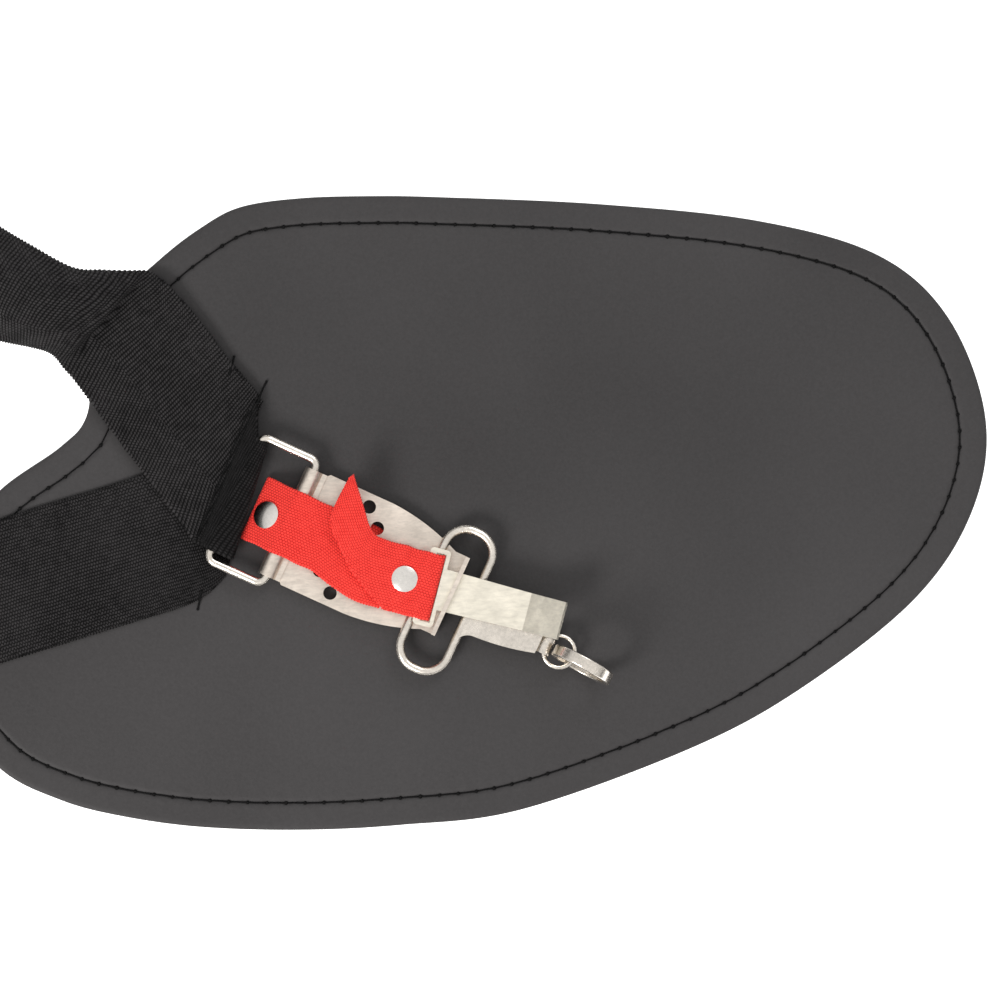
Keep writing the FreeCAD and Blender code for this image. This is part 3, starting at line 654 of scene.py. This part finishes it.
def make_back_skin():
    verts, faces = edge_band(BACK_LEVELS)
    count = len(EDGE)
    start = len(verts) - count
    border = [Vector((v.x / MM, v.y / MM)) for v in verts[start:]]
    _, _, cells, origins, _, _ = delaunay_2d_cdt(border, [], [tuple(range(count))], 1, CDT_GAP)
    index = [start + (origin[0] if origin else 0) for origin in origins]
    for face in cells:
        faces.append(tuple(index[v] for v in reversed(face)))
    return add_mesh("skin_back", verts, faces, KNIT)


def make_foam_edge():
    verts, faces = edge_band(FOAM_LEVELS)
    return add_mesh("foam_edge", verts, faces, FOAM)


def knot(centre, radius):
    """A small flattened ball of thread."""
    verts, faces = [], []
    rings, sides, flatness = 4, 8, 0.6
    for i in range(1, rings):
        a = math.pi * i / rings
        for k in range(sides):
            b = 2 * math.pi * k / sides
            verts.append(centre + Vector((math.sin(a) * math.cos(b), math.sin(a) * math.sin(b),
                                          flatness * math.cos(a))) * radius)
    top, bottom = len(verts), len(verts) + 1
    pole = Vector((0, 0, flatness * radius))
    verts += [centre + pole, centre - pole]
    for i in range(rings - 2):
        for k in range(sides):
            m = (k + 1) % sides
            faces.append((i * sides + k, (i + 1) * sides + k, (i + 1) * sides + m, i * sides + m))
    for k in range(sides):
        m = (k + 1) % sides
        faces.append((top, k, m))
        faces.append((bottom, (rings - 2) * sides + m, (rings - 2) * sides + k))
    return verts, faces


def make_stitches():
    """A stitch from each needle hole of the edge seam to the next, with a knot at each hole."""
    parts = []
    ring = ring_at(STITCH_INSET)
    holes = [ring[STITCH_STEPS * s] for s in range(STITCHES)]
    for s, a in enumerate(holes):
        b = holes[(s + 1) % STITCHES]
        way = (b - a).normalized()
        side = Vector((way.y, -way.x)) * random.uniform(-0.09, 0.09)
        length = (b - a).length
        line = []
        for f, drop in EDGE_STITCH:
            at = a + way * length * f + side * math.sin(math.pi * f)
            line.append(row(at.x, at.y, PAD_TOP - 0.1 + drop))
        parts.append(tube(line, THREAD_R * MM))
        parts.append(knot(row(a.x, a.y, PAD_TOP - 0.3), KNOT_R * MM * random.uniform(0.85, 1.15)))
    return merged("edge_stitches", parts, THREAD)


front = make_front_skin()
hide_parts("pad_front_skin")
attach(front, "root")
back = make_back_skin()
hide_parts("pad_back_skin")
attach(back, "root")
foam_edge = make_foam_edge()
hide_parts("pad_foam_core")
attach(foam_edge, "root")
stitches = make_stitches()
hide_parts("pad_edge_thread")
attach(stitches, "root")


# ---------------------------------------------------------------- black webbing
WEB_T = 1.6
WEB_W = 48.5
WEB_COLUMNS = 40
LOOP_COLUMNS = 32
ROW_STEP = 0.42
UPPER_FULL_W = 47.6         # the upper strap arches where its edges are closer than this
# left x, y, z, right x, y, z of the strap's edges, from the ring outwards
UPPER_ROWS = [
    (-36.2, -7.0, 10.4, -10.6, 43.4, 10.4),
    (-44.6, 4.6, 10.4, -15.4, 50.0, 10.4),
    (-53.7, 16.5, 10.5, -23.5, 59.4, 10.5),
    (-66.0, 33.0, 11.0, -35.6, 75.4, 11.0),
    (-75.6, 46.2, 11.6, -44.8, 85.6, 11.8),
    (-80.6, 52.8, 11.0, -49.6, 90.0, 11.4),
    (-84.4, 57.0, 9.2, -53.4, 92.0, 9.8),
    (-87.2, 60.6, 9.6, -60.4, 92.0, 11.4),
    (-90.6, 62.8, 9.6, -69.4, 92.2, 13.2),
    (-97.4, 64.6, 8.8, -81.0, 93.2, 12.8),
    (-108.5, 66.9, 7.0, -96.7, 101.6, 10.0),
    (-122.0, 71.0, 4.4, -111.0, 110.0, 6.5),
    (-138.0, 74.0, 1.7, -126.5, 119.0, 2.3),
    (-150.0, 75.8, 0.92, -135.5, 121.9, 0.92),
    (-159.5, 78.6, 0.92, -144.6, 124.4, 0.92),
]
LOWER_ROWS = [
    (-24.8, -20.9, 8.85, -10.7, 22.3, 8.85),
    (-31.4, -27.0, 8.85, -25.0, 21.0, 8.85),
    (-41.0, -31.6, 8.82, -48.0, 18.4, 8.82),
    (-56.0, -36.3, 8.82, -70.5, 11.6, 8.82),
    (-82.0, -44.4, 8.82, -97.0, 3.6, 8.82),
    (-108.0, -52.4, 8.82, -123.0, -5.4, 8.82),
    (-124.0, -58.2, 8.82, -139.0, -11.5, 8.6),
    (-137.0, -62.9, 7.2, -152.0, -16.4, 4.6),
    (-146.0, -66.1, 3.0, -161.0, -19.9, 1.6),
    (-153.0, -68.7, 0.95, -167.6, -22.4, 0.92),
    (-158.7, -70.7, 0.92, -173.3, -24.5, 0.92),
]


def bulge_for(width, full):
    """Height of an arch that uses up the strap's full width over a narrower span."""
    if width >= full:
        return 0.0
    return width * math.sqrt(0.375 * (full / width - 1))


def strap_rows(table, full=0.0):
    """Sections of a strap along its table of edges."""
    rows = []
    # along_line measures both edges at once, so its step is longer by the root of two
    for values in along_line(table, ROW_STEP * math.sqrt(2)):
        left, right = row(*values[:3]), row(*values[3:])
        width = (right - left).length / MM
        rows.append((left, right, bulge_for(width, full) * MM))
    return rows


upper = ribbon("strap_upper", strap_rows(UPPER_ROWS, UPPER_FULL_W), WEB_T * MM, WEB_COLUMNS, BLACK_WEB,
               scallop=0.0006, ripple=0.00022)
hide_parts("upper_strap")
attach(upper, "root")
lower = ribbon("strap_lower", strap_rows(LOWER_ROWS), WEB_T * MM, WEB_COLUMNS, BLACK_WEB_LOW,
               scallop=0.0006, ripple=0.0001, flip_uv=True)
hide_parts("lower_strap")
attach(lower, "root")


# the turn round the ring: skewed, slack at its lower end
RING_LEN = 22.6
RING_Z = 13.4
LOOP_R = 2.8
# at each side: y over the bar, x of the front, where it hangs slack, x and y of the seam
TURN_SIDES = (
    (-21.8, -13.4, (-25.8, -21.2, 14.6), -27.2, -20.6),
    (21.6, -19.3, (-26.4, 27.4, 14.2), -29.4, 33.0),
)


def loop_rows():
    """Sections of the turn, followed from its lower layer over the bar to the seam."""
    sides = []
    for y, front_x, slack, seam_x, seam_y in TURN_SIDES:
        reach = front_x + RING_LEN - LOOP_R
        line = [(-30.0, y, 10.62), (-26.0, y, 10.6)]
        for step in range(15):
            a = math.radians(-90 + 200 * step / 14)
            spread = max(0.0, math.cos(a)) * (reach - WEB_T / 2)
            line.append((-RING_LEN + LOOP_R * math.cos(a) + spread, y, RING_Z + LOOP_R * math.sin(a)))
        line.append(slack)
        line += [(seam_x + 0.3, seam_y, 12.35), (seam_x - 0.9, seam_y + 0.8, 12.05),
                 (seam_x - 2.2, seam_y + 1.2, 12.0)]
        sides.append(line)
    table = [(*a, *b) for a, b in zip(*sides)]
    return [(plate(*values[:3]), plate(*values[3:]), 0.0) for values in along_line(table, 0.6, 8)]


turn = ribbon("strap_turn", loop_rows(), WEB_T * MM, LOOP_COLUMNS, BLACK_WEB_TURN_SHADED, scallop=0.0003)
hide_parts("ring_loop")
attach(turn, "root")


# the loops at the straps' ends, each round an adjuster's first bar
BAR_R = 1.6
BAR_CLEAR = 0.35
END_TAIL = 16.0
END_HALF = WEB_W / 2 - 0.4


def from_end(end, direction, u, v):
    """Row-frame (x, y) of a place u along and v across a strap's end."""
    turn_by = math.radians(direction)
    c, s = math.cos(turn_by), math.sin(turn_by)
    return end[0] + u * c - v * s, end[1] + u * s + v * c


def end_loop(name, node, end, direction):
    """The loop that holds an adjuster's first bar."""
    radius = BAR_R + BAR_CLEAR + WEB_T / 2
    level = 0.1 + WEB_T + BAR_CLEAR + BAR_R
    line = [(0.0, level - radius), (END_TAIL * 0.5, level - radius)]
    for step in range(13):
        a = math.radians(-90 + 180 * step / 12)
        line.append((END_TAIL + radius * math.cos(a), level + radius * math.sin(a)))
    line += [(END_TAIL * 0.62, level + radius * 0.35), (END_TAIL * 0.4, level - radius + WEB_T + 0.02),
             (0.0, level - radius + WEB_T + 0.02)]
    rows = []
    for u, z in along_line(line, 0.5, 8):
        left, right = (row(*from_end(end, direction, u, v), z) for v in (END_HALF, -END_HALF))
        rows.append((left, right, 0.0))
    thing = ribbon(name, rows, WEB_T * MM, LOOP_COLUMNS, BLACK_WEB, scallop=0.0004)
    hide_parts(node)
    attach(thing, "root")
    return thing


# where each strap ends, and the way it points in degrees
UPPER_END, UPPER_DIR = (-152.0, 101.5), 162.0
LOWER_END, LOWER_DIR = (-166.0, -47.6), 197.5
upper_end = end_loop("strap_upper_end", "upper_strap_end_loop", UPPER_END, UPPER_DIR)
lower_end = end_loop("strap_lower_end", "lower_strap_end_loop", LOWER_END, LOWER_DIR)


# ---------------------------------------------------------------- seams on the webbing
SEAM_PITCH = 3.0
SEAM_SIDES = 6
TAIL_R = 0.36
# how far along a stitch, and its height over the webbing there
SEAM_STITCH = ((-0.5, -0.35), (-0.42, -0.08), (-0.2, 0.06), (0.2, 0.06), (0.42, -0.08), (0.5, -0.35))
# loose ends of thread, each from the webbing down to the pad
THREAD_TAILS = [
    [(-23.2, 54.0, 11.6), (-22.4, 56.4, 11.2), (-21.8, 58.6, 9.4), (-21.4, 60.6, 8.6)],
    [(-12.6, 43.4, 12.6), (-11.6, 46.4, 11.4), (-10.6, 49.0, 9.2), (-9.4, 51.4, 8.6)],
    [(-33.6, -26.4, 10.0), (-34.0, -28.8, 9.6), (-34.4, -31.0, 8.6), (-34.8, -32.8, 8.5)],
]


def stitch_row(start, end, level, length):
    """Stitches from start to end, row-frame (x, y) in millimetres, standing on a level surface."""
    parts = []
    a, b = Vector(start), Vector(end)
    count = round((b - a).length / SEAM_PITCH)
    way = (b - a).normalized()
    side = Vector((way.y, -way.x))
    for s in range(count):
        lean = random.uniform(-0.12, 0.12)
        middle = a + (b - a) * ((s + 0.5) / count) + side * lean
        line = []
        for f, drop in SEAM_STITCH:
            at = middle + way * length * f
            line.append(row(at.x, at.y, level + drop))
        parts.append(tube(line, THREAD_R * MM, SEAM_SIDES))
    return parts


def flat(point):
    """A row-frame point in metres, as (x, y) in millimetres."""
    return (point.x / MM, point.y / MM)


def make_seams():
    parts = []
    for off in (1.1, 2.6):
        a = flat(plate(-26.6 - off, -19.0, 0))
        b = flat(plate(-28.9 - off, 31.0, 0))
        parts += stitch_row(a, b, 12.85, 2.6)
    for end, direction in ((UPPER_END, UPPER_DIR), (LOWER_END, LOWER_DIR)):
        for u in (1.5, 4.5):
            a, b = (from_end(end, direction, u, v) for v in (-21.0, 21.0))
            parts += stitch_row(a, b, 3.4, 2.4)
    for tail in THREAD_TAILS:
        line = [row(*p) for p in along_line(tail, 0.5)]
        parts.append(tube(line, TAIL_R * MM, SEAM_SIDES))
        parts.append(knot(line[-1], 0.55 * MM))
        parts.append(knot(line[0], 0.6 * MM))
    return merged("webbing_seams", parts, THREAD)


seams = make_seams()
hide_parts("loop_stitching")
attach(seams, "root")


# ---------------------------------------------------------------- red release strap
RED_T = 1.2
RED_LOW, RED_HIGH = -13.3, 10.7
RED_COLUMNS = 24
RED_EDGE = {"scallop": 0.0004, "scallop_pitch": 1.1}
SLOPE = math.radians(30.0)
TOP_R = 4.15
ANCHOR_TOP_X = -2.6         # the anchor ends here and the lead starts
FOLD_X = -13.9
UNDER_LENGTH = 9.2          # of the fold's lower layer, down to the plate's underside
UNDER_Z = 8.75
RUN_Z = 17.55
RUN_X, RUN_STEP, RUN_ROWS = 7.8, 0.5, 67
RUN_TO_TONGUE = 65.4
PULL_HALF = 12.0


def slope_point(x):
    """Height of the strap's middle on the slope from the fold up to the barrel."""
    start = (-TOP_R * math.sin(SLOPE), RING_Z + TOP_R * math.cos(SLOPE))
    return start[1] - (start[0] - x) * math.tan(SLOPE)


def red_low(x):
    return RED_LOW + 0.15 * math.sin(x * 0.55)


def red_high(x):
    return RED_HIGH + 0.15 * math.sin(x * 0.47 + 1.0)


def plate_ribbon(name, line):
    """Red webbing whose middle follows (x, z) in the plate's frame."""
    rows = []
    for x, z in along_line(line, 0.5, 10):
        rows.append((plate(x, red_high(x), z), plate(x, red_low(x), z), 0.0))
    return ribbon(name, rows, RED_T * MM, RED_COLUMNS, RED_WEB, **RED_EDGE)


def make_anchor():
    """Down the slope, round the fold and back, then along under the plate."""
    gap = RED_T + 0.1
    fold_z = slope_point(FOLD_X)
    down = (math.sin(SLOPE) * gap, -math.cos(SLOPE) * gap)
    line = [(x, slope_point(x)) for x in (ANCHOR_TOP_X, -6.0, -10.0, FOLD_X)]
    for step in range(1, 7):
        a = math.radians(120 + 180 * step / 6)
        line.append((FOLD_X + down[0] / 2 + gap / 2 * math.cos(a),
                     fold_z + down[1] / 2 + gap / 2 * math.sin(a)))
    under = (FOLD_X + down[0], fold_z + down[1])
    for along in (2.0, 6.0, UNDER_LENGTH):
        line.append((under[0] + along * math.cos(SLOPE), under[1] + along * math.sin(SLOPE)))
    top = under[1] + UNDER_LENGTH * math.sin(SLOPE)
    line += [(under[0] + 8.9, (top + UNDER_Z) / 2), (under[0] + 10.2, 8.78), (12.0, UNDER_Z),
             (33.0, UNDER_Z)]
    return plate_ribbon("red_anchor", line)


def make_lead():
    """Over the barrel."""
    line = [(ANCHOR_TOP_X, slope_point(ANCHOR_TOP_X))]
    for step in range(6):
        a = math.radians(120 - 30 * step / 5)
        line.append((TOP_R * math.cos(a), RING_Z + TOP_R * math.sin(a)))
    line += [(4.0, 17.5), (8.2, 17.52)]
    return plate_ribbon("red_lead", line)


def make_run():
    """From the barrel to the tongue; its far end turns with the tongue."""
    rows = []
    for i in range(RUN_ROWS):
        x = RUN_X + i * RUN_STEP
        t = smooth((x - 12.0) / 24.0)
        xa, ya = tongue_to_plate(x - RUN_TO_TONGUE, PULL_HALF)
        xb, yb = tongue_to_plate(x - RUN_TO_TONGUE, -PULL_HALF)
        left = plate(x, red_high(x), RUN_Z).lerp(plate(xa, ya, RUN_Z), t)
        right = plate(x, red_low(x), RUN_Z).lerp(plate(xb, yb, RUN_Z), t)
        rows.append((left, right, 0.0))
    return ribbon("red_run", rows, RED_T * MM, RED_COLUMNS, RED_WEB, **RED_EDGE)


# the strap beyond the rivet, in the plate's frame: upper edge (x, y, z), then the edge that is cut
# at a slant, which stands up at its tip
TAB_ROWS = [
    (43.0, 9.2, 18.85, 44.6, -15.2, 18.85),
    (38.4, 8.2, 18.9, 39.4, -13.4, 18.9),
    (34.0, 7.7, 19.1, 33.2, -10.4, 19.0),
    (30.2, 7.9, 19.9, 27.0, -6.8, 19.7),
    (26.6, 10.4, 21.4, 21.6, -2.2, 20.4),
    (22.5, 15.1, 23.2, 16.4, 2.4, 21.2),
    (18.9, 19.2, 24.6, 13.0, 7.2, 22.4),
    (16.0, 22.4, 25.6, 12.5, 13.6, 24.0),
    (13.9, 24.9, 26.4, 13.1, 23.6, 26.2),
]


def make_pull():
    """Under the tongue's head, round its bar, back over the run, then up into the free tab."""
    line = [(-23.9, RUN_Z), (-16.0, RUN_Z), (-8.5, 17.6)]
    for step in range(9):
        a = math.radians(-90 + 180 * step / 8)
        line.append((-7.6 + 1.5 * math.cos(a), 19.08 + 1.5 * math.sin(a)))
    line += [(-9.6, 20.62), (-11.8, 20.55), (-13.9, 19.0), (-16.0, 18.86), (-18.0, 18.85)]
    table = []
    for x, z in line:
        ragged = 0.15 * math.sin(x * 0.9)
        table.append((*tongue_to_plate(x, PULL_HALF + ragged), z,
                      *tongue_to_plate(x, -PULL_HALF + ragged), z))
    table += TAB_ROWS
    rows = []
    for values in along_line(table, 0.7, 12):
        rows.append((plate(*values[:3]), plate(*values[3:]), 0.0))
    return ribbon("red_pull_loop", rows, RED_T * MM, RED_COLUMNS, RED_WEB,
                  from_left=PULL_HALF * MM, **RED_EDGE)


anchor = make_anchor()
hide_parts("release_strap_anchor")
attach(anchor, "ring")
lead = make_lead()
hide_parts("release_strap_lead")
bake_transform(lead)
run = make_run()
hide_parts("release_strap_run")
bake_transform(run)
pull = make_pull()
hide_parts("pull_loop")
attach(pull, "tongue")


# ---------------------------------------------------------------- finishes on the CAD nodes
FINISHES = {
    "pad_stiffener": BOARD, "webbing_ring": WIRE, "anchor_stud_cap": CAP, "anchor_stud_base": CAP,
    "release_plate": SHEET, "release_tongue": BLADE, "pull_rivet_cap": CAP, "pull_rivet_base": CAP,
    "hook_eye": WIRE, "link_ring": WIRE, "machine_ring": WIRE, "adjuster_upper": PLASTIC,
    "adjuster_lower": PLASTIC,
}
# width of the rounding on edges that catch the light
SOFT_EDGED = {
    "release_plate": 0.22, "release_tongue": 0.25, "adjuster_upper": 0.4, "adjuster_lower": 0.4,
}
for node, material in FINISHES.items():
    thing = bpy.data.objects[node]
    thing.data.materials.clear()
    thing.data.materials.append(material)
    keep_sharp(thing)
    if node in SOFT_EDGED:
        bevel = thing.modifiers.new("edge", "BEVEL")
        bevel.width = SOFT_EDGED[node] * MM
        bevel.segments = 2
        bevel.limit_method = "ANGLE"
        bevel.angle_limit = math.radians(50.0)


# ---------------------------------------------------------------- stage, light and camera
def make_stage():
    """A white floor that shines by itself, so that it stays white."""
    n = Nodes("white_floor")
    n.shader.inputs["Base Color"].default_value = (0.9, 0.9, 0.9, 1.0)
    n.shader.inputs["Emission Color"].default_value = (1.0, 1.0, 1.0, 1.0)
    n.shader.inputs["Emission Strength"].default_value = 1.0
    half = 3.0
    verts = [Vector((x * half, y * half, -0.0004)) for x, y in ((-1, -1), (1, -1), (1, 1), (-1, 1))]
    floor = add_mesh("floor", verts, [(0, 1, 2, 3)], n.material, False)


def make_world():
    """White overhead, darker low down and most of all to the left, so that bent metal shows it."""
    world = bpy.data.worlds.new("studio")
    world.use_nodes = True
    tree = world.node_tree
    back = tree.nodes["Background"]
    place = tree.nodes.new("ShaderNodeTexCoord").outputs["Generated"]
    split = tree.nodes.new("ShaderNodeSeparateXYZ")
    tree.links.new(place, split.inputs[0])
    tilt = tree.nodes.new("ShaderNodeMath")
    tilt.operation = "MULTIPLY_ADD"
    tree.links.new(split.outputs[0], tilt.inputs[0])
    tilt.inputs[1].default_value = 0.12
    tree.links.new(split.outputs[2], tilt.inputs[2])
    ramp = tree.nodes.new("ShaderNodeValToRGB")
    tree.links.new(tilt.outputs[0], ramp.inputs[0])
    stops = [(0.0, 0.45), (0.1, 0.1), (0.3, 0.1), (0.38, 0.6), (0.8, 0.84)]
    while len(ramp.color_ramp.elements) < len(stops):
        ramp.color_ramp.elements.new(0.5)
    for element, (at, value) in zip(ramp.color_ramp.elements, stops):
        element.position = at
        element.color = (value, value * 0.985, value * 0.965, 1.0)
    tree.links.new(ramp.outputs[0], back.inputs[0])
    back.inputs[1].default_value = 1.0
    bpy.context.scene.world = world


LAMP_AIM = Vector((0.06, 0.0, 0.0))


def make_lamp(name, place, size, power, colour):
    lamp = bpy.data.lights.new(name, "AREA")
    lamp.shape = "RECTANGLE"
    lamp.size, lamp.size_y = size
    lamp.energy = power
    lamp.color = colour
    thing = bpy.data.objects.new(name, lamp)
    thing.location = place
    thing.rotation_mode = "QUATERNION"
    thing.rotation_quaternion = (LAMP_AIM - Vector(place)).to_track_quat("-Z", "Y")
    bpy.context.scene.collection.objects.link(thing)


def make_camera():
    """Straight down, far enough up to see little of the sides."""
    away = 3.0
    across = 0.370          # width of the view at the pad's top
    sensor = 36.0
    camera = bpy.data.cameras.new("camera")
    camera.sensor_width = sensor
    camera.lens = sensor * (away - PAD_TOP * MM) / across
    camera.clip_start, camera.clip_end = 0.05, 10.0
    thing = bpy.data.objects.new("camera", camera)
    thing.location = (0.0770, 0.0076, away)
    bpy.context.scene.collection.objects.link(thing)
    bpy.context.scene.camera = thing


make_stage()
make_world()
make_lamp("key", (-0.6, -0.75, 0.85), (0.45, 0.45), 12.0, (1.0, 0.98, 0.96))
make_lamp("fill", (0.55, 0.85, 0.9), (0.6, 0.6), 4.0, (0.97, 0.98, 1.0))
make_camera()
bpy.context.scene.view_settings.view_transform = "Standard"
